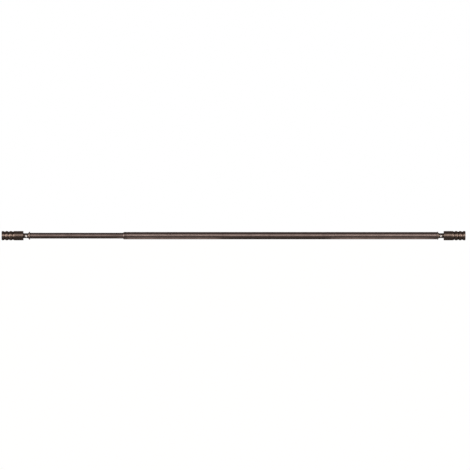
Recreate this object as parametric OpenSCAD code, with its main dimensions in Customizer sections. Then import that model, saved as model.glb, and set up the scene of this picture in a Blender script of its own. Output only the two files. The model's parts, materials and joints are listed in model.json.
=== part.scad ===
// Telescoping curtain rod with a ribbed barrel finial at each end.
// The rod lies along X. The origin is on the rod's axis, half way along its overall length.
// The inner tube and its finial are on the -X side, and the outer tube and its finial on the +X side.
// Millimetres.

/* [Tubes] */
// Outside diameter of the inner, thinner tube
inner_tube_d = 12.7; // [9:0.1:30]
// Wall of the inner tube
inner_tube_wall = 0.7; // [0.4:0.1:1.5]
// Wall of the outer tube
outer_tube_wall = 0.7; // [0.4:0.1:1.5]
// Length of the outer tube, without the ferrule
outer_tube_l = 675; // [400:1:1500]
// Length of the inner tube that shows between the ferrule and the end flange
exposed_l = 203; // [20:0.1:600]
// How much further the inner tube slides out before its glide meets the mouth liner
open_travel = 303.5; // [20:0.5:350]
// Width of the groove along the rolled seam of each tube
seam_w = 0.5; // [0.2:0.1:1]
// Depth of that groove
seam_depth = 0.25; // [0.1:0.05:0.35]

/* [Mouth ferrule and liner] */
// Wall of the mouth liner, which fills the space between the two tubes
liner_wall = 0.85; // [0.5:0.05:3]
// Length of the mouth liner, behind the ferrule's spigot
liner_l = 60; // [20:1:150]
// Length of the ferrule that shows in front of the outer tube
ferrule_ring_l = 7.9; // [5:0.1:15]
// Length of the rounded nose of the ferrule
ferrule_nose_l = 3; // [1:0.1:4]
// Length of the ferrule's spigot inside the outer tube
ferrule_spigot_l = 12; // [8:1:40]

/* [Glide] */
// Length of the glide's head, behind the inner tube
glide_head_l = 10; // [6:1:20]
// Length of the glide's stem, inside the inner tube
glide_stem_l = 14; // [8:1:30]
// Wall of the glide
glide_wall = 1.4; // [0.8:0.1:2.5]
// Width of the four slots that make the glide springy
glide_slot_w = 1.2; // [0.6:0.1:2]
// Distance from the inner tube's hidden end to the rolled bead that holds the glide
bead_inset = 7; // [5:0.5:10]
// Depth of that bead
bead_depth = 0.35; // [0.2:0.05:0.4]

/* [End plug and adapter] */
// Length of the plug inside the tube
plug_l = 20; // [12:1:40]
// Height of the plug's crush ribs
plug_rib_h = 0.6; // [0.3:0.1:1]
// Width of each crush rib
plug_rib_w = 1.2; // [0.8:0.1:2]
// Number of crush ribs
plug_ribs = 6; // [3:1:10]
// Thickness of the lip that stops the plug at the tube's end
lip_t = 0.9; // [0.5:0.1:2]
// How far the lip stands back from the tube's outside
lip_inset = 0.25; // [0.1:0.05:0.5]

/* [End flange] */
// How far the flange stands proud of the outer tube
flange_overhang = 0.7; // [0.3:0.1:3]
// Thickness of the flange's rim
flange_rim_t = 2.2; // [0.8:0.1:4]
// Length of the cone between the rim and the neck
flange_cone_l = 1.8; // [1.8:0.1:6]
// How far the small end of the cone stands proud of the neck
flange_tip_step = 0.4; // [0.1:0.1:1]
// Bevel on both edges of the rim
flange_bevel = 0.35; // [0.1:0.05:0.5]

/* [Post, neck and set screw] */
// Diameter of the plain post that the finial slides on
post_d = 5; // [4:0.1:10]
// Radius by which the post's collar stands proud of it
post_collar_h = 1.2; // [0.8:0.1:2]
// Thickness of the post's collar
post_collar_t = 1.5; // [1:0.1:2]
// Wall of the neck's threaded shank
shank_wall = 1.4; // [0.7:0.1:2]
// Width of the shoulder on which the barrel seats
neck_shoulder = 1.4; // [0.8:0.1:3]
// Length of the neck that shows between the flange and the barrel
neck_l = 10.4; // [8.4:0.1:20]
// Length of the neck's threaded shank, past its nut
shank_end_l = 1; // [0.5:0.1:4]
// Bevel at each end of the neck
neck_bevel = 0.3; // [0.1:0.05:0.6]
// Diameter of the set screw
screw_d = 5; // [3:0.1:6]
// Length of the set screw
screw_l = 3; // [2:0.1:6]
// How far the set screw stands from the neck's middle, towards the flange
screw_offset = 0.9; // [0:0.1:1]
// Angle of the set screw below the level of the axis
screw_tilt = 12; // [0:1:90]
// Width of the set screw's slot
screw_slot_w = 0.8; // [0.5:0.1:1.2]
// Depth of the set screw's slot
screw_slot_depth = 0.9; // [0.5:0.1:1.2]

/* [Finial] */
// Size across the flats of the nut that holds the barrel
nut_af = 13; // [10:0.1:19]
// Thickness of that nut
nut_t = 4; // [3:0.1:8]
// Wall of the barrel between its grooves
barrel_wall = 2.4; // [2:0.1:5]
// Overall length of the finial, barrel and cap
finial_l = 47.4; // [40:0.1:80]
// Thickness of the barrel's inner end plate
barrel_plate_t = 1.4; // [1:0.1:3]
// Rounding of the barrel's edge next to the neck
barrel_edge_r = 0.8; // [0.2:0.1:1.5]
// Number of grooves round the barrel
grooves = 3; // [1:1:4]
// Distance from the finial's outer end to the middle of the first groove
groove_start = 7.1; // [6:0.1:12]
// Distance from one groove to the next
groove_pitch = 8.7; // [6:0.1:10]
// Depth of each groove
groove_depth = 1.4; // [0.5:0.1:1.6]
// Width of each groove, between the tops of its rounded shoulders
groove_w = 6.2; // [3:0.1:6.4]
// Thickness of the end cap that shows
cap_t = 2; // [2:0.1:3]
// Rounding of the end cap's outer edge
cap_edge_r = 1.6; // [0.5:0.1:1.8]
// Length of the end cap's spigot inside the barrel
cap_spigot_l = 5; // [3:0.1:12]
// Wall of the end cap's spigot
cap_spigot_wall = 1.4; // [0.8:0.1:3]

/* [Clearances] */
// Radial gap where a tube, a glide or a neck slides
slide_gap = 0.08; // [0.05:0.01:0.1]
// Radial gap drawn where one piece is pressed or screwed into another
press_gap = 0.02; // [0.01:0.01:0.05]
// Radial gap between the ferrule and the inner tube
ferrule_gap = 0.2; // [0.1:0.05:0.3]
// Gap between the flange and the ferrule when the rod is closed
closed_gap = 0.5; // [0.2:0.1:2]

/* [Hidden] */
$fn = 96;

// Steps in each quarter of a rounded edge
arc_steps = 8;
// Steps in each half of a groove
groove_steps = 12;
// Length by which a cut runs past the face that it opens
cut_over = 1;
bronze = [0.30, 0.24, 0.21];
dark_bronze = [0.24, 0.19, 0.17];
zinc = [0.78, 0.79, 0.80];
nylon = [0.10, 0.10, 0.10];

// Radii, from the inner tube outwards
inner_r = inner_tube_d / 2;
inner_bore_r = inner_r - inner_tube_wall;
outer_bore_r = inner_r + slide_gap + liner_wall + press_gap;
outer_r = outer_bore_r + outer_tube_wall;
flange_r = outer_r + flange_overhang;

// Radii, from the post outwards
post_r = post_d / 2;
collar_r = post_r + post_collar_h;
neck_bore_r = post_r + slide_gap;
shank_r = neck_bore_r + shank_wall;
neck_r = shank_r + neck_shoulder;
screw_r = screw_d / 2;
nut_corner_r = nut_af / 2 / cos(30);
barrel_bore_r = nut_corner_r + 3 * slide_gap;
barrel_r = barrel_bore_r + barrel_wall;

// Places along one end, measured outwards from the flange's face at the tube
flange_l = flange_rim_t + flange_cone_l;
barrel_start = flange_l + neck_l;
nut_start = barrel_start + barrel_plate_t;
shank_end = nut_start + nut_t + shank_end_l;
finial_end = barrel_start + finial_l;
barrel_end = finial_end - cap_t;
screw_x = flange_l + neck_l / 2 - screw_offset;

// Places along X
overall_l = 2 * finial_end + exposed_l + ferrule_ring_l + outer_tube_l + lip_t;
left_flange_x = finial_end - overall_l / 2;
right_flange_x = overall_l / 2 - finial_end;
mouth_x = left_flange_x + exposed_l;
outer_start = mouth_x + ferrule_ring_l;
outer_end = outer_start + outer_tube_l;
inner_start = left_flange_x + lip_t;
liner_start = outer_start + ferrule_spigot_l;
inner_end = liner_start + liner_l + open_travel;
inner_tube_l = inner_end - inner_start;
closed_travel = exposed_l - closed_gap;
bead_x = inner_end - bead_inset;

// Points of a quarter ellipse about [r, x], from angle a to angle b
function arc(r, x, half_r, half_x, a, b) = [
    for (i = [0 : arc_steps])
        let (t = a + (b - a) * i / arc_steps)
        [r + half_r * cos(t), x + half_x * sin(t)]
];

// A solid turned about X, from an outline of [radius, x] points
module turned(outline) {
    rotate([0, 90, 0]) rotate_extrude() polygon(outline);
}

// A round bar along X, from x0 to x1, of radius r0 at x0 and r1 at x1
module bar(x0, x1, r0, r1) {
    translate([x0, 0, 0]) rotate([0, 90, 0]) cylinder(h = x1 - x0, r1 = r0, r2 = r1);
}

// A cut of one radius along X that runs past both ends
module bore(x0, x1, r) {
    bar(x0 - cut_over, x1 + cut_over, r, r);
}

// Places a piece of an end assembly, which is drawn pointing outwards along +X
module at_end(side) {
    if (side == "left") translate([left_flange_x, 0, 0]) mirror([1, 0, 0]) children();
    else translate([right_flange_x, 0, 0]) children();
}

// Turns +Z to the way that the set screw points: out of the front of the neck, on the -Y side
module at_screw() {
    translate([screw_x, 0, 0]) rotate([90 + screw_tilt, 0, 0]) children();
}

// A rolled tube with its seam along the back, on the +Y side
module rolled_tube(x0, x1, r, bore_r) {
    difference() {
        bar(x0, x1, r, r);
        bore(x0, x1, bore_r);
        translate([x0 - cut_over, r - seam_depth, -seam_w / 2])
            cube([x1 - x0 + 2 * cut_over, seam_depth + cut_over, seam_w]);
    }
}

module outer_tube() {
    color(bronze) rolled_tube(outer_start, outer_end, outer_r, outer_bore_r);
}

// The inner tube has a bead rolled into it, which turns in a groove of the glide
module inner_tube() {
    color(bronze) difference() {
        union() {
            rolled_tube(inner_start, inner_end, inner_r, inner_bore_r);
            bead_ring(inner_bore_r, bead_depth);
        }
        bead_ring(inner_r, bead_depth);
    }
}

// Ring with a wedge section that reaches inwards from radius r at the rolled bead
module bead_ring(r, depth) {
    translate([bead_x, 0, 0]) turned([
        [r - depth, -depth / 2],
        [r - depth, depth / 2],
        [r + depth / 2, 2 * depth],
        [r + depth / 2, -2 * depth]
    ]);
}

// Round-nosed ring in the mouth of the outer tube, with a spigot pressed into it
module mouth_ferrule() {
    guide_r = inner_r + ferrule_gap;
    spigot_r = outer_bore_r - press_gap;
    nose_r = outer_r - guide_r;
    shoulder_bevel = lip_inset;
    outline = concat(
        [[guide_r, 0]],
        arc(guide_r, ferrule_nose_l, nose_r, ferrule_nose_l, -80, 0),
        [
            [outer_r, ferrule_ring_l - shoulder_bevel],
            [outer_r - shoulder_bevel, ferrule_ring_l],
            [spigot_r, ferrule_ring_l],
            [spigot_r, ferrule_ring_l + ferrule_spigot_l - shoulder_bevel],
            [spigot_r - shoulder_bevel, ferrule_ring_l + ferrule_spigot_l],
            [guide_r, ferrule_ring_l + ferrule_spigot_l]
        ]
    );
    color(dark_bronze) translate([mouth_x, 0, 0]) turned(outline);
}

// Sleeve behind the ferrule that guides the inner tube and stops the glide
module mouth_liner() {
    color(nylon) difference() {
        bar(liner_start, liner_start + liner_l, outer_bore_r - press_gap, outer_bore_r - press_gap);
        bore(liner_start, liner_start + liner_l, inner_r + slide_gap);
    }
}

// Plug with a slotted head that slides in the outer tube behind the inner tube
module inner_glide() {
    stem_r = inner_bore_r - slide_gap;
    head_r = outer_bore_r - slide_gap;
    hollow_r = stem_r - glide_wall;
    relief = glide_wall / 3;
    land_l = glide_head_l / 3;
    groove_half_l = 3 * bead_depth;
    groove_bottom_r = stem_r - 2 * bead_depth;
    // Measured along X from the end of the inner tube, where the head meets the stem
    bead_at = -bead_inset;
    outline = [
        [hollow_r, -glide_stem_l],
        [stem_r - relief, -glide_stem_l],
        [stem_r, -glide_stem_l + glide_wall],
        [stem_r, bead_at - groove_half_l],
        [groove_bottom_r, bead_at - groove_half_l],
        [groove_bottom_r, bead_at + groove_half_l],
        [stem_r, bead_at + groove_half_l],
        [stem_r, 0],
        [head_r, 0],
        [head_r, land_l],
        [head_r - relief, land_l],
        [head_r - relief, 2 * land_l],
        [head_r, 2 * land_l],
        [head_r, glide_head_l],
        [hollow_r, glide_head_l]
    ];
    color(nylon) translate([inner_end, 0, 0]) difference() {
        turned(outline);
        for (turn = [45, 135])
            rotate([turn, 0, 0])
                translate([glide_wall, -head_r - cut_over, -glide_slot_w / 2])
                    cube([glide_head_l, 2 * (head_r + cut_over), glide_slot_w]);
    }
}

// Sleeve that lets the outer tube's end take the same plug as the inner tube's
module tube_adapter() {
    color(nylon) at_end("right") difference() {
        union() {
            bar(-plug_l, -lip_t, outer_bore_r - press_gap, outer_bore_r - press_gap);
            bar(-lip_t, 0, outer_r - lip_inset, outer_r - lip_inset);
        }
        bore(-plug_l, 0, inner_bore_r);
        bar(-lip_t, cut_over, inner_r, inner_r);
    }
}

// Ribbed plug in the tube's end, with a lip that stops against it and a hole for the post
module end_plug(side) {
    core_r = inner_bore_r - plug_rib_h;
    crest_r = inner_bore_r - press_gap;
    color(nylon) at_end(side) difference() {
        union() {
            bar(-plug_l, -plug_l + plug_rib_h, core_r - plug_rib_h, core_r);
            bar(-plug_l + plug_rib_h, 0, core_r, core_r);
            bar(-lip_t, 0, inner_r - lip_inset, inner_r - lip_inset);
            intersection() {
                bar(-plug_l + 2 * plug_rib_h, 0, crest_r, crest_r);
                for (i = [0 : plug_ribs - 1])
                    rotate([i * 360 / plug_ribs, 0, 0])
                        translate([-plug_l, 0, -plug_rib_w / 2])
                            cube([plug_l, crest_r + cut_over, plug_rib_w]);
            }
        }
        bore(-plug_l, 0, post_r + press_gap);
    }
}

// Thin rim with a cone towards the neck, and a seat in its tip for the post's collar
module end_flange(side) {
    tip_r = neck_r + flange_tip_step;
    hole_r = post_r + press_gap;
    outline = [
        [hole_r, 0],
        [flange_r - flange_bevel, 0],
        [flange_r, flange_bevel],
        [flange_r, flange_rim_t - flange_bevel],
        [flange_r - flange_bevel, flange_rim_t],
        [tip_r, flange_l],
        [collar_r + press_gap, flange_l],
        [collar_r + press_gap, flange_l - post_collar_t],
        [hole_r, flange_l - post_collar_t]
    ];
    color(bronze) at_end(side) turned(outline);
}

// Steel post: held in the plug, its collar holds the flange, and its plain end carries the finial
module finial_post(side) {
    tail = plug_l - cut_over;
    point_bevel = post_d / 10;
    outline = [
        [0, -tail],
        [post_r - point_bevel, -tail],
        [post_r, -tail + point_bevel],
        [post_r, flange_l - post_collar_t],
        [collar_r, flange_l - post_collar_t],
        [collar_r, flange_l],
        [post_r, flange_l],
        [post_r, shank_end - point_bevel],
        [post_r - point_bevel, shank_end],
        [0, shank_end]
    ];
    color(zinc) at_end(side) turned(outline);
}

// Sleeve that slides on the post, with a shoulder and a hollow shank for the barrel
module finial_neck(side) {
    outline = [
        [neck_bore_r, flange_l],
        [neck_r - neck_bevel, flange_l],
        [neck_r, flange_l + neck_bevel],
        [neck_r, barrel_start - neck_bevel],
        [neck_r - neck_bevel, barrel_start],
        [shank_r, barrel_start],
        [shank_r, shank_end - neck_bevel],
        [shank_r - neck_bevel, shank_end],
        [neck_bore_r, shank_end]
    ];
    color(bronze) at_end(side) difference() {
        turned(outline);
        at_screw() cylinder(h = neck_r + cut_over, r = screw_r + press_gap);
    }
}

// Slotted headless screw through the front of the neck, with its tip clear of the post
module set_screw(side) {
    slot_turn = 35;
    edge_bevel = screw_d / 16;
    outline = [
        [0, 0],
        [screw_r - edge_bevel, 0],
        [screw_r, edge_bevel],
        [screw_r, screw_l - edge_bevel],
        [screw_r - edge_bevel, screw_l],
        [0, screw_l]
    ];
    color(zinc) at_end(side) at_screw() translate([0, 0, neck_bore_r]) difference() {
        rotate_extrude() polygon(outline);
        rotate([0, 0, slot_turn])
            translate([-screw_d, -screw_slot_w / 2, screw_l - screw_slot_depth])
                cube([2 * screw_d, screw_slot_w, screw_slot_depth + cut_over]);
    }
}

// Points along one groove, from its inner shoulder to its outer one, about its middle at x
function groove_points(x) = [
    for (i = [-groove_steps : groove_steps])
        let (share = i / groove_steps)
        [barrel_r - groove_depth * (1 + cos(180 * share)) / 2, x + share * groove_w / 2]
];

// Hollow barrel with a plate at its inner end and rounded grooves near its outer end
module finial_barrel(side) {
    plate_hole_r = shank_r + press_gap;
    first_groove_x = finial_end - groove_start;
    outline = concat(
        [[plate_hole_r, barrel_start]],
        arc(barrel_r - barrel_edge_r, barrel_start + barrel_edge_r, barrel_edge_r, barrel_edge_r, -90, 0),
        [
            for (i = [grooves - 1 : -1 : 0])
                each groove_points(first_groove_x - i * groove_pitch)
        ],
        [
            [barrel_r, barrel_end],
            [barrel_bore_r, barrel_end],
            [barrel_bore_r, nut_start],
            [plate_hole_r, nut_start]
        ]
    );
    color(bronze) at_end(side) turned(outline);
}

// Hex nut on the shank, inside the barrel
module barrel_nut(side) {
    color(zinc) at_end(side) difference() {
        translate([nut_start, 0, 0]) rotate([0, 90, 0]) cylinder(h = nut_t, r = nut_corner_r, $fn = 6);
        bore(nut_start, nut_start + nut_t, shank_r + press_gap);
    }
}

// Cap pressed into the outer end of the barrel, with a round outer edge
module finial_cap(side) {
    spigot_r = barrel_bore_r - press_gap;
    hollow_r = spigot_r - cap_spigot_wall;
    outline = concat(
        [
            [0, barrel_end],
            [hollow_r, barrel_end],
            [hollow_r, barrel_end - cap_spigot_l],
            [spigot_r, barrel_end - cap_spigot_l],
            [spigot_r, barrel_end],
            [barrel_r, barrel_end]
        ],
        arc(barrel_r - cap_edge_r, finial_end - cap_edge_r, cap_edge_r, cap_edge_r, 0, 90),
        [[0, finial_end]]
    );
    color(bronze) at_end(side) turned(outline);
}

outer_tube();
inner_tube();
mouth_ferrule();
mouth_liner();
inner_glide();
tube_adapter();
end_plug("left");  // left_end_plug
end_flange("left");  // left_end_flange
finial_post("left");  // left_finial_post
finial_neck("left");  // left_finial_neck
set_screw("left");  // left_set_screw
finial_barrel("left");  // left_finial_barrel
barrel_nut("left");  // left_barrel_nut
finial_cap("left");  // left_finial_cap
end_plug("right");  // right_end_plug
end_flange("right");  // right_end_flange
finial_post("right");  // right_finial_post
finial_neck("right");  // right_finial_neck
set_screw("right");  // right_set_screw
finial_barrel("right");  // right_finial_barrel
barrel_nut("right");  // right_barrel_nut
finial_cap("right");  // right_finial_cap
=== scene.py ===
"""Looks for the telescoping curtain rod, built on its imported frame. Metres, +X along the rod, +Z up."""

import json
import math

import bmesh
import bpy
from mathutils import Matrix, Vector


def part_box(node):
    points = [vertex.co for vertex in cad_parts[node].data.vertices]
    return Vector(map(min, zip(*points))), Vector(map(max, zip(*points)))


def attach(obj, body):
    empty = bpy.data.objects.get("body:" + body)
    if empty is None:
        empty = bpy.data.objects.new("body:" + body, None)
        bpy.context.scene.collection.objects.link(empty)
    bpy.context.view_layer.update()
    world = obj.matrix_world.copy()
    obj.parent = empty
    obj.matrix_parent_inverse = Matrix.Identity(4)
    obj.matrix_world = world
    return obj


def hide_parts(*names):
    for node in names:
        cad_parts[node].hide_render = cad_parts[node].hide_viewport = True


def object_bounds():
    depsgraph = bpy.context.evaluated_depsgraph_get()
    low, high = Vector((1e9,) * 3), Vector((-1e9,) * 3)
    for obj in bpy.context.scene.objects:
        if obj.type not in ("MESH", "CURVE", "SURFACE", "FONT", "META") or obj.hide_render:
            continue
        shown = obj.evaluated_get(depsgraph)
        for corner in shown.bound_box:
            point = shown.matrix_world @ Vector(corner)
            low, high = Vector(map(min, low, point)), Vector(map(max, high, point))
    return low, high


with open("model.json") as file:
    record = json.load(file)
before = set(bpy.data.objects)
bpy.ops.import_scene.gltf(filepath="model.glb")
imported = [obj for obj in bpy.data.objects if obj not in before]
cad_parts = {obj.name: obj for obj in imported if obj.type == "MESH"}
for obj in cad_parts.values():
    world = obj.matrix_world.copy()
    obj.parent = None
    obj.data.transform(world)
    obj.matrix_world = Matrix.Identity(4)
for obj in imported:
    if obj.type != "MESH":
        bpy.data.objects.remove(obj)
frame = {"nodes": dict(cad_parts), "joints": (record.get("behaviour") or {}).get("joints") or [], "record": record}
cad_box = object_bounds()

# Finishes: the scales of their patterns, and the amounts that turn them into wear, gloss and relief

MOTTLE_SCALE = 60
MOTTLE_DETAIL = 6
MOTTLE_ROUGHNESS = 0.62
STREAK_SCALE = 900
STREAK_DETAIL = 3
STREAK_SHARE = 0.45
TURNED_DRIFT = 0.08
DRAWN_STRETCH = 0.05
SLIDE_STRETCH = 0.012
SLIDE_LINE_SCALE = 2400
SLIDE_LINE_DETAIL = 2
SLIDE_MARK_RANGE = (0.6, 0.72)
SLIDE_MARK_WEAR = 0.12
WEAR_STOPS = (0.36, 0.5, 0.66)
# Painted shade for grooves and hollows: the ramp stop of its darkest colour, how far it darkens the coat, and that
# colour's share of the dark coat colour
GROOVE_STOP = 0.2
GROOVE_PAINTED_SHADE = 0.26
GROOVE_SHADE = 0.5
CREST_RUB = 0.03
GLOSS_RANGE = (0.3, 0.7)
GLOSS_SPREAD = 0.05
LINE_STRENGTH = 0.15
LINE_DEPTH = 0.00005

# Coats: the dark, the middle and the rubbed colour of each

TUBE_COAT = [(0.088, 0.063, 0.055), (0.109, 0.079, 0.069), (0.135, 0.098, 0.085)]
CAST_COAT = [(0.060, 0.042, 0.033), (0.084, 0.060, 0.048), (0.116, 0.083, 0.066)]

# Shade to rub, as shares of the piece's radius: inside the first the coat carries painted shade, as in a groove or
# next to the neck, and at the second it is rubbed thinnest, as on a crest or a rim

FLANGE_SHADE_TO_RUB = (0.55, 0.73)
BARREL_SHADE_TO_RUB = (0.86, 1)


# Node helpers

def new_material(name):
    mat = bpy.data.materials.new(name)
    mat.use_nodes = True
    nodes, links = mat.node_tree.nodes, mat.node_tree.links
    return mat, nodes, links, nodes["Principled BSDF"]


def add(nodes, kind, **values):
    node = nodes.new(kind)
    for key, value in values.items():
        setattr(node, key, value)
    return node


def ramp(nodes, stops):
    node = nodes.new("ShaderNodeValToRGB")
    elements = node.color_ramp.elements
    while len(elements) < len(stops):
        elements.new(0.5)
    for element, (at, colour) in zip(elements, stops):
        element.position = at
        element.color = (*colour, 1)
    return node


def turned_coordinates(nodes, links, coords):
    """Coordinates that run along the rod and out from its axis, and the distance from the axis by itself.

    Noise in them makes the lines that a lathe leaves: hoops on a round wall and rings on a flat end.
    """
    across = add(nodes, "ShaderNodeMapping")
    across.inputs["Scale"].default_value = (0, 1, 1)
    links.new(coords.outputs["Object"], across.inputs["Vector"])
    radius = add(nodes, "ShaderNodeVectorMath", operation="LENGTH")
    links.new(across.outputs["Vector"], radius.inputs[0])
    drift = add(nodes, "ShaderNodeMapping")
    drift.inputs["Scale"].default_value = (1, TURNED_DRIFT, TURNED_DRIFT)
    links.new(coords.outputs["Object"], drift.inputs["Vector"])
    outwards = add(nodes, "ShaderNodeCombineXYZ")
    links.new(radius.outputs["Value"], outwards.inputs["Y"])
    turned = add(nodes, "ShaderNodeVectorMath", operation="ADD")
    links.new(drift.outputs["Vector"], turned.inputs[0])
    links.new(outwards.outputs["Vector"], turned.inputs[1])
    return turned.outputs["Vector"], radius.outputs["Value"]


def drawn_coordinates(nodes, links, coords):
    """Coordinates stretched along the rod, for the lines that a drawn and polished tube has."""
    stretch = add(nodes, "ShaderNodeMapping")
    stretch.inputs["Scale"].default_value = (DRAWN_STRETCH, 1, 1)
    links.new(coords.outputs["Object"], stretch.inputs["Vector"])
    return stretch.outputs["Vector"]


def slide_marks(nodes, links, coords, wear):
    """Adds to wear the long thin marks that a tube gets from sliding in its guide."""
    stretch = add(nodes, "ShaderNodeMapping")
    stretch.inputs["Scale"].default_value = (SLIDE_STRETCH, 1, 1)
    links.new(coords.outputs["Object"], stretch.inputs["Vector"])
    lines = add(nodes, "ShaderNodeTexNoise")
    lines.inputs["Scale"].default_value = SLIDE_LINE_SCALE
    lines.inputs["Detail"].default_value = SLIDE_LINE_DETAIL
    links.new(stretch.outputs["Vector"], lines.inputs["Vector"])
    marks = add(nodes, "ShaderNodeMapRange")
    marks.inputs["From Min"].default_value = SLIDE_MARK_RANGE[0]
    marks.inputs["From Max"].default_value = SLIDE_MARK_RANGE[1]
    marks.inputs["To Max"].default_value = SLIDE_MARK_WEAR
    links.new(lines.outputs["Fac"], marks.inputs["Value"])
    marked = add(nodes, "ShaderNodeMath", operation="ADD")
    links.new(wear, marked.inputs[0])
    links.new(marks.outputs["Result"], marked.inputs[1])
    return marked.outputs["Value"]


def bronze(name, coat, rough, turned, shade_to_rub_radius=None, slides=False):
    """Oil-rubbed bronze: a dark brown coat, rubbed lighter in streaks, with fine polishing lines.

    coat holds its dark, middle and rubbed colours. Between the two distances from the rod's axis in
    shade_to_rub_radius the coat goes from darkened with painted shade, as in a groove, to rubbed thin, as on a
    crest or a rim.
    """
    mat, nodes, links, shader = new_material(name)
    coords = add(nodes, "ShaderNodeTexCoord")
    if turned:
        lines, radius = turned_coordinates(nodes, links, coords)
    else:
        lines = drawn_coordinates(nodes, links, coords)

    mottle = add(nodes, "ShaderNodeTexNoise")
    mottle.inputs["Scale"].default_value = MOTTLE_SCALE
    mottle.inputs["Detail"].default_value = MOTTLE_DETAIL
    mottle.inputs["Roughness"].default_value = MOTTLE_ROUGHNESS
    links.new(coords.outputs["Object"], mottle.inputs["Vector"])

    streak = add(nodes, "ShaderNodeTexNoise")
    streak.inputs["Scale"].default_value = STREAK_SCALE
    streak.inputs["Detail"].default_value = STREAK_DETAIL
    links.new(lines, streak.inputs["Vector"])

    blend = add(nodes, "ShaderNodeMix", data_type="FLOAT")
    blend.inputs["Factor"].default_value = STREAK_SHARE
    links.new(mottle.outputs["Fac"], blend.inputs["A"])
    links.new(streak.outputs["Fac"], blend.inputs["B"])
    wear = blend.outputs["Result"]

    # Painted shade towards the axis: grooves and the flange by the neck get a darker coat where shade falls, while
    # crests and rims are rubbed lighter, which is wear
    if shade_to_rub_radius:
        crest = add(nodes, "ShaderNodeMapRange")
        crest.inputs["From Min"].default_value = shade_to_rub_radius[0]
        crest.inputs["From Max"].default_value = shade_to_rub_radius[1]
        crest.inputs["To Min"].default_value = -GROOVE_PAINTED_SHADE
        crest.inputs["To Max"].default_value = CREST_RUB
        links.new(radius, crest.inputs["Value"])
        shaded_and_worn = add(nodes, "ShaderNodeMath", operation="ADD")
        links.new(wear, shaded_and_worn.inputs[0])
        links.new(crest.outputs["Result"], shaded_and_worn.inputs[1])
        wear = shaded_and_worn.outputs["Value"]
    if slides:
        wear = slide_marks(nodes, links, coords, wear)

    stops = list(zip(WEAR_STOPS, coat))
    # The first stop is a darker colour, painted shade for the bottoms of grooves
    if shade_to_rub_radius:
        stops.insert(0, (GROOVE_STOP, tuple(channel * GROOVE_SHADE for channel in coat[0])))
    colour = ramp(nodes, stops)
    links.new(wear, colour.inputs["Fac"])
    links.new(colour.outputs["Color"], shader.inputs["Base Color"])

    gloss = add(nodes, "ShaderNodeMapRange")
    gloss.inputs["From Min"].default_value = GLOSS_RANGE[0]
    gloss.inputs["From Max"].default_value = GLOSS_RANGE[1]
    gloss.inputs["To Min"].default_value = rough + GLOSS_SPREAD
    gloss.inputs["To Max"].default_value = rough - GLOSS_SPREAD
    links.new(wear, gloss.inputs["Value"])
    links.new(gloss.outputs["Result"], shader.inputs["Roughness"])

    bump = add(nodes, "ShaderNodeBump")
    bump.inputs["Strength"].default_value = LINE_STRENGTH
    bump.inputs["Distance"].default_value = LINE_DEPTH
    links.new(streak.outputs["Fac"], bump.inputs["Height"])
    links.new(bump.outputs["Normal"], shader.inputs["Normal"])
    shader.inputs["Metallic"].default_value = 1
    shader.inputs["Specular Tint"].default_value = (0.5, 0.5, 0.5, 1)
    return mat


def shade(coat, share):
    return [tuple(channel * share for channel in colour) for colour in coat]


def outer_radius(node):
    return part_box(node)[1][2]


barrel_radius = outer_radius("left_finial_barrel")
flange_radius = outer_radius("left_end_flange")
outer_tube_bronze = bronze("outer_tube_bronze", TUBE_COAT, rough=0.34, turned=False)
inner_tube_bronze = bronze(
    "inner_tube_bronze", shade(TUBE_COAT, share=0.8), rough=0.42, turned=False, slides=True,
)
ferrule_bronze = bronze("ferrule_bronze", shade(TUBE_COAT, share=0.8), rough=0.36, turned=True)
# Painted shade: the neck, set back between the barrel and the flange, gets a darker copy of the cast coat
neck_painted_shade_bronze = bronze("neck_painted_shade_bronze", shade(CAST_COAT, share=0.7), rough=0.36, turned=True)
# Painted highlight: the flange gets a lighter copy of the cast coat for the highlight on its rim and collar, with
# painted shade nearer the axis
flange_painted_highlight_bronze = bronze(
    "flange_painted_highlight_bronze", shade(CAST_COAT, share=1.35), rough=0.36, turned=True,
    shade_to_rub_radius=[share * flange_radius for share in FLANGE_SHADE_TO_RUB],
)
cap_bronze = bronze("cap_bronze", CAST_COAT, rough=0.32, turned=True)
# The barrel's grooves carry painted shade and its crests carry wear
barrel_bronze = bronze(
    "barrel_bronze", CAST_COAT, rough=0.32, turned=True,
    shade_to_rub_radius=[share * barrel_radius for share in BARREL_SHADE_TO_RUB],
)


def grained(name, colour, metallic, grain_scale, smoothest, roughest):
    """A plated or moulded finish of one colour, with a fine grain in its gloss."""
    mat, nodes, links, shader = new_material(name)
    shader.inputs["Base Color"].default_value = (*colour, 1)
    shader.inputs["Metallic"].default_value = metallic
    grain = add(nodes, "ShaderNodeTexNoise")
    grain.inputs["Scale"].default_value = grain_scale
    gloss = add(nodes, "ShaderNodeMapRange")
    gloss.inputs["To Min"].default_value = smoothest
    gloss.inputs["To Max"].default_value = roughest
    links.new(grain.outputs["Fac"], gloss.inputs["Value"])
    links.new(gloss.outputs["Result"], shader.inputs["Roughness"])
    return mat


zinc = grained("zinc", (0.92, 0.87, 0.83), metallic=1, grain_scale=1500, smoothest=0.22, roughest=0.36)
nylon = grained("nylon", (0.02, 0.02, 0.021), metallic=0, grain_scale=1200, smoothest=0.5, roughest=0.65)
by_slot = {"bronze_tube": outer_tube_bronze, "bronze_cast": barrel_bronze, "zinc": zinc, "nylon": nylon}
by_node = {"inner_tube": inner_tube_bronze, "mouth_ferrule": ferrule_bronze}
for side in ("left", "right"):
    by_node[f"{side}_finial_neck"] = neck_painted_shade_bronze
    by_node[f"{side}_finial_cap"] = cap_bronze
for part in frame["record"]["subparts"]:
    node = frame["nodes"][part["node"]]
    finish = by_node.get(part["node"], by_slot[part["material_slot"]])
    if not node.material_slots:
        node.data.materials.append(finish)
    for slot in node.material_slots:
        slot.material = finish

# Set screws: the CAD ones have their slot and their size but no thread, so threaded ones stand in for them

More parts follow.
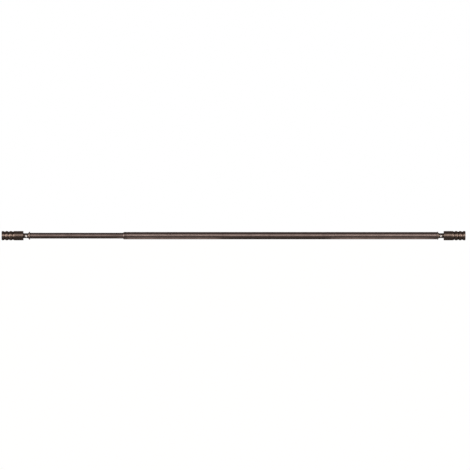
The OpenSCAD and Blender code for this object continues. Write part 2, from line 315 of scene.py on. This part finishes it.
THREAD_PITCH = 0.0008
THREAD_DEPTH = 0.0004
THREAD_FLANK = 1.25
RINGS_PER_TURN = 12
SCREW_SIDES = 64
OVERHANG = 0.0002
OVERSIZE = 1.01
JOIN_DISTANCE = 0.0000005
SLIVER_SIZE = 0.000004


def mesh_object(name, shape, finish):
    bmesh.ops.recalc_face_normals(shape, faces=shape.faces)
    mesh = bpy.data.meshes.new(name)
    shape.to_mesh(mesh)
    shape.free()
    mesh.materials.append(finish)
    piece = bpy.data.objects.new(name, mesh)
    bpy.context.collection.objects.link(piece)
    return piece


def apply_modifiers(piece):
    graph = bpy.context.evaluated_depsgraph_get()
    mesh = bpy.data.meshes.new_from_object(piece.evaluated_get(graph))
    piece.modifiers.clear()
    piece.data = mesh


def screw_frame(node, axis):
    """A screw's foot on its own axis, its length and its radius, measured on the CAD solid."""
    low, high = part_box(node.name)
    centre = (low + high) / 2
    offsets = [vertex.co - centre for vertex in node.data.vertices]
    heights = [offset.dot(axis) for offset in offsets]
    radius = max((offset - axis * height).length for offset, height in zip(offsets, heights))
    return centre + axis * min(heights), max(heights) - min(heights), radius


def threaded_rod(name, foot, axis, length, crest, finish):
    """A rod with a single-start thread, a little longer and thicker than the screw that is cut from it."""
    across = axis.cross(Vector((1, 0, 0))).normalized()
    up = axis.cross(across)
    rings = round((length + 2 * OVERHANG) / THREAD_PITCH * RINGS_PER_TURN)
    shape = bmesh.new()
    grid = []
    for i in range(rings + 1):
        height = (length + 2 * OVERHANG) * i / rings - OVERHANG
        ring = []
        for j in range(SCREW_SIDES):
            angle = 2 * math.pi * j / SCREW_SIDES
            phase = (height / THREAD_PITCH - j / SCREW_SIDES) % 1
            tooth = min(1, THREAD_FLANK * abs(2 * phase - 1))
            reach = crest * OVERSIZE - THREAD_DEPTH * (1 - tooth)
            way = across * math.cos(angle) + up * math.sin(angle)
            ring.append(shape.verts.new(foot + axis * height + way * reach))
        grid.append(ring)
    for lower, upper in zip(grid, grid[1:]):
        for j in range(SCREW_SIDES):
            k = (j + 1) % SCREW_SIDES
            shape.faces.new((lower[j], lower[k], upper[k], upper[j]))
    shape.faces.new(grid[-1])
    shape.faces.new(reversed(grid[0]))
    return mesh_object(name, shape, finish)


def closed_copy(node):
    """A CAD solid's copy with its vertices joined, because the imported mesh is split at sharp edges."""
    shape = bmesh.new()
    shape.from_mesh(node.data)
    bmesh.ops.remove_doubles(shape, verts=shape.verts, dist=JOIN_DISTANCE)
    return mesh_object(f"{node.name}_closed_copy", shape, zinc)


def join_slivers(piece):
    """Joins vertices that a cut leaves almost on top of each other, and drops the faces between them."""
    shape = bmesh.new()
    shape.from_mesh(piece.data)
    bmesh.ops.triangulate(shape, faces=shape.faces)
    bmesh.ops.remove_doubles(shape, verts=shape.verts, dist=SLIVER_SIZE)
    bmesh.ops.dissolve_degenerate(shape, edges=shape.edges, dist=SLIVER_SIZE)
    shape.to_mesh(piece.data)
    shape.free()


def set_screw(side):
    node = frame["nodes"][f"{side}_set_screw"]
    joint = next(j for j in frame["joints"] if j["name"] == f"{side}_screw_out")
    axis = Vector(joint["axis"]).normalized()
    foot, length, crest = screw_frame(node, axis)
    screw = threaded_rod(f"{side}_threaded_set_screw", foot, axis, length, crest, zinc)
    cut = screw.modifiers.new("to_screw", "BOOLEAN")
    cut.operation = "INTERSECT"
    cut.solver = "EXACT"
    solid = closed_copy(node)
    cut.object = solid
    apply_modifiers(screw)
    bpy.data.objects.remove(solid)
    join_slivers(screw)
    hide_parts(node.name)
    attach(screw, f"{side}_screw")


for side in ("left", "right"):
    set_screw(side)

# End flanges: the CAD ones are a rim and a plain cone, and ones with a stepped collar stand in for them

RIM_THICKNESS = 0.0022
RIM_ROUNDING = 0.0004
COLLAR_STEP = 0.001
COLLAR_FILLET = 0.0002
COLLAR_ROUNDING = 0.00015
POST_HOLE_RADIUS = 0.00252
POST_SEAT_DEPTH = 0.0015
PRESS_GAP = 0.00002
FLANGE_SIDES = 128
ARC_STEPS = 5
SHARP_ANGLE = 40


def quarter_turn(centre, size, start, sweep):
    """Points (along, radius) of a quarter of a circle about centre, from start degrees through sweep."""
    angles = [math.radians(start + sweep * i / ARC_STEPS) for i in range(ARC_STEPS + 1)]
    return [(centre[0] + size * math.cos(t), centre[1] + size * math.sin(t)) for t in angles]


def flange_outline(length, rim, collar, seat):
    """Outline (along, radius) from the tube's side outwards: rim, fillet, collar and the post's seat."""
    edge = RIM_ROUNDING
    fillet = COLLAR_FILLET
    tip = COLLAR_ROUNDING
    return (
        [(0, POST_HOLE_RADIUS)]
        + quarter_turn((edge, rim - edge), edge, 180, -90)
        + quarter_turn((RIM_THICKNESS - edge, rim - edge), edge, 90, -90)
        + quarter_turn((RIM_THICKNESS + fillet, collar + fillet), fillet, 180, 90)
        + quarter_turn((length - tip, collar - tip), tip, 90, -90)
        + [(length, seat), (length - POST_SEAT_DEPTH, seat), (length - POST_SEAT_DEPTH, POST_HOLE_RADIUS)]
    )


def turned_flange(side):
    node = frame["nodes"][f"{side}_end_flange"]
    low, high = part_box(node.name)
    outwards = 1 if side == "right" else -1
    tube_face = low.x if side == "right" else high.x
    collar = outer_radius(f"{side}_finial_neck") + COLLAR_STEP
    seat = outer_radius(f"{side}_finial_post") + PRESS_GAP
    outline = flange_outline(high.x - low.x, high.z, collar, seat)
    shape = bmesh.new()
    rings = []
    for i in range(FLANGE_SIDES):
        angle = 2 * math.pi * i / FLANGE_SIDES
        across, up = math.cos(angle), math.sin(angle)
        rings.append([shape.verts.new((tube_face + outwards * a, r * across, r * up)) for a, r in outline])
    for ring, following in zip(rings, rings[1:] + rings[:1]):
        for j in range(len(outline)):
            k = (j + 1) % len(outline)
            shape.faces.new((ring[j], ring[k], following[k], following[j]))
    flange = mesh_object(f"{side}_turned_end_flange", shape, flange_painted_highlight_bronze)
    flange.data.shade_smooth()
    flange.data.set_sharp_from_angle(angle=math.radians(SHARP_ANGLE))
    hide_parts(node.name)
    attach(flange, "inner_rod" if side == "left" else "outer_rod")


for side in ("left", "right"):
    turned_flange(side)

# Stage

FLOOR_SIZE = 30
FLOOR_GAP = 0.0002
FLOOR_GREY = (0.9, 0.9, 0.9, 1)
FLOOR_GLOW = 0.735
ROOM_COLOUR = (1, 0.98, 0.96, 1)
ROOM_LIGHT = 0.3
low, high = Vector(cad_box[0]), Vector(cad_box[1])


def stage_floor():
    """A pale floor with a glow of its own. It shows in no reflection and keeps no light from the rod."""
    bpy.ops.mesh.primitive_plane_add(size=FLOOR_SIZE, location=(0, 0, low.z - FLOOR_GAP))
    floor = bpy.context.object
    floor.name = "studio_floor"
    mat, _, _, shader = new_material("studio_floor")
    shader.inputs["Base Color"].default_value = FLOOR_GREY
    shader.inputs["Roughness"].default_value = 1
    shader.inputs["Specular IOR Level"].default_value = 0
    shader.inputs["Emission Color"].default_value = (1, 1, 1, 1)
    shader.inputs["Emission Strength"].default_value = FLOOR_GLOW
    floor.data.materials.append(mat)
    floor.visible_glossy = False
    floor.visible_diffuse = False
    floor.visible_shadow = False


stage_floor()


def lamp(name, at, to, width, height, watts, spread=180):
    """A soft lamp at one point, aimed at another, that only glossy reflections see."""
    data = bpy.data.lights.new(name, "AREA")
    data.shape = "RECTANGLE"
    data.size = width
    data.size_y = height
    data.energy = watts
    data.spread = math.radians(spread)
    lamp_object = bpy.data.objects.new(name, data)
    bpy.context.collection.objects.link(lamp_object)
    lamp_object.location = at
    lamp_object.rotation_euler = (Vector(to) - Vector(at)).to_track_quat("-Z", "Y").to_euler()
    lamp_object.visible_camera = False
    lamp_object.visible_diffuse = False


lamp("front_softbox", at=(0, -2.6, 0.75), to=(0, 0, 0), width=4.4, height=1.6, watts=78)
lamp("left_softbox", at=(-1.25, -0.75, 0.1), to=(-0.48, 0, 0), width=0.7, height=0.6, watts=28)
lamp("right_softbox", at=(1.25, -0.75, 0.1), to=(0.48, 0, 0), width=0.7, height=0.6, watts=26)
lamp("back_softbox", at=(0, 2.4, 1.4), to=(0, 0, 0), width=4.4, height=1.2, watts=40)
lamp("left_end_softbox", at=(-2.5, 0, 0.1), to=(-0.5, 0, 0), width=1.2, height=1.2, watts=12)
lamp("right_end_softbox", at=(2.5, 0, 0.1), to=(0.5, 0, 0), width=1.2, height=1.2, watts=12)
lamp(
    "left_low_fill", at=(-0.14, 0.01, -0.09), to=(-0.14, 0, 0),
    width=0.22, height=0.13, watts=0.0385, spread=90,
)
lamp(
    "right_low_fill", at=(0.325, 0.01, -0.09), to=(0.325, 0, 0),
    width=0.22, height=0.13, watts=0.037, spread=90,
)
lamp("left_kicker", at=(-1.02, -0.9, -0.40), to=(-0.45, 0, 0), width=0.14, height=0.14, watts=0.3)
lamp("right_kicker", at=(1.02, -0.9, -0.40), to=(0.45, 0, 0), width=0.14, height=0.14, watts=0.3)


def studio_world():
    """White where the camera sees it, and a dimmer, slightly warm room for everything else."""
    world = bpy.data.worlds.new("studio")
    bpy.context.scene.world = world
    world.use_nodes = True
    nodes, links = world.node_tree.nodes, world.node_tree.links
    nodes.clear()
    seen = add(nodes, "ShaderNodeBackground")
    seen.inputs["Color"].default_value = (1, 1, 1, 1)
    seen.inputs["Strength"].default_value = 1
    room = add(nodes, "ShaderNodeBackground")
    room.inputs["Color"].default_value = ROOM_COLOUR
    room.inputs["Strength"].default_value = ROOM_LIGHT
    path = add(nodes, "ShaderNodeLightPath")
    mix = add(nodes, "ShaderNodeMixShader")
    out = add(nodes, "ShaderNodeOutputWorld")
    links.new(path.outputs["Is Camera Ray"], mix.inputs["Fac"])
    links.new(room.outputs["Background"], mix.inputs[1])
    links.new(seen.outputs["Background"], mix.inputs[2])
    links.new(mix.outputs["Shader"], out.inputs["Surface"])


studio_world()

# Camera: level with the rod, straight in front, and so far off that its ends are seen nearly square on

CAMERA_DISTANCE = 14.0
ROD_SHARE = 0.9868
SENSOR_WIDTH = 36
SHIFT_ACROSS = 0.0031
SHIFT_UP = 0.0014
FAR_LIMIT = 100
camera_data = bpy.data.cameras.new("camera")
camera = bpy.data.objects.new("camera", camera_data)
bpy.context.collection.objects.link(camera)
camera.location = (0, -CAMERA_DISTANCE, 0)
camera.rotation_euler = (math.radians(90), 0, 0)
camera_data.sensor_width = SENSOR_WIDTH
camera_data.lens = SENSOR_WIDTH * CAMERA_DISTANCE * ROD_SHARE / (high.x - low.x)
camera_data.shift_x = SHIFT_ACROSS
camera_data.shift_y = SHIFT_UP
camera_data.clip_end = FAR_LIMIT
bpy.context.scene.camera = camera

bpy.context.scene.view_settings.view_transform = "Standard"
